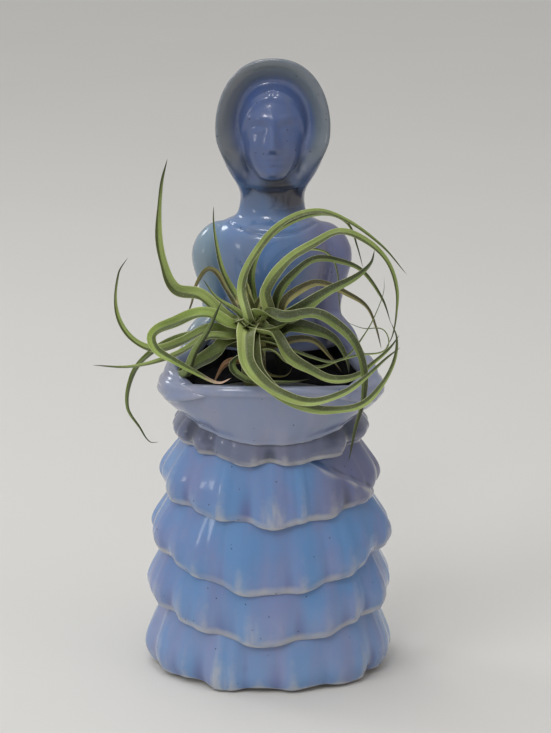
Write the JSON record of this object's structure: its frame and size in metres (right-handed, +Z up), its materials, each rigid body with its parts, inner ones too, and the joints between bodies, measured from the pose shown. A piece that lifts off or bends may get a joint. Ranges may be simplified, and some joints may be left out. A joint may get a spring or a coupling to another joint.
{
  "type": "figural planter",
  "caption": "Glazed ceramic planter shaped as a bonneted lady in a ruffled skirt, whose open apron pocket holds a loose curly air plant.",
  "frame": {"origin": "on the table, under the middle of the skirt", "axes": "+Z up; the figure faces -Y; +X is to the viewer's right"},
  "size_m": [0.0961, 0.0702, 0.1974],
  "materials": {
    "blue_glaze": "semi-gloss periwinkle glaze that breaks to pale grey on hems and fold ridges",
    "bare_clay": "unglazed pale earthenware",
    "leaf_green": "matt green leaf with fine silvery scales",
    "crown_pale_green": "pale green leaf bases",
    "dry_leaf_brown": "dry brown leaf"
  },
  "bodies": {
    "planter": {"foot": "bare_clay", "flounce_bottom": "blue_glaze", "flounce_lower": "blue_glaze", "flounce_middle": "blue_glaze", "flounce_upper": "blue_glaze", "flounce_top": "blue_glaze", "apron_pocket": "blue_glaze", "bodice": "blue_glaze", "arm_right": "blue_glaze", "arm_left": "blue_glaze", "head": "blue_glaze", "bonnet": "blue_glaze"},
    "air_plant": {"plant_crown": "crown_pale_green", "leaf_tall_left": "leaf_green", "leaf_short_upright": "leaf_green", "leaf_blade_left": "leaf_green", "leaf_hook_left": "leaf_green", "leaf_turnback_left": "leaf_green", "leaf_level_left": "leaf_green", "leaf_droop_left": "leaf_green", "leaf_bent_left": "leaf_green", "leaf_folded_left": "leaf_green", "leaf_loop_low": "leaf_green", "leaf_loop_inner": "leaf_green", "leaf_front_sweep": "leaf_green", "leaf_front_hang": "leaf_green", "leaf_top_arch": "leaf_green", "leaf_top_arch_inner": "leaf_green", "leaf_second_arch": "leaf_green", "leaf_third_arch": "leaf_green", "leaf_thin_arch": "leaf_green", "leaf_fourth_arch": "leaf_green", "leaf_broad_hook": "leaf_green", "leaf_right_over": "leaf_green", "leaf_right_into": "leaf_green", "leaf_right_under": "leaf_green", "leaf_diagonal": "leaf_green", "leaf_thin_return": "leaf_green", "leaf_thin_upright": "leaf_green", "leaf_dry": "dry_leaf_brown"}
  },
  "joints": [
    {"name": "plant_lift", "type": "slide", "parent": "planter", "child": "air_plant", "axis": [0, -0.2588, 0.9659], "range_m": [0, 0.09]}
  ]
}
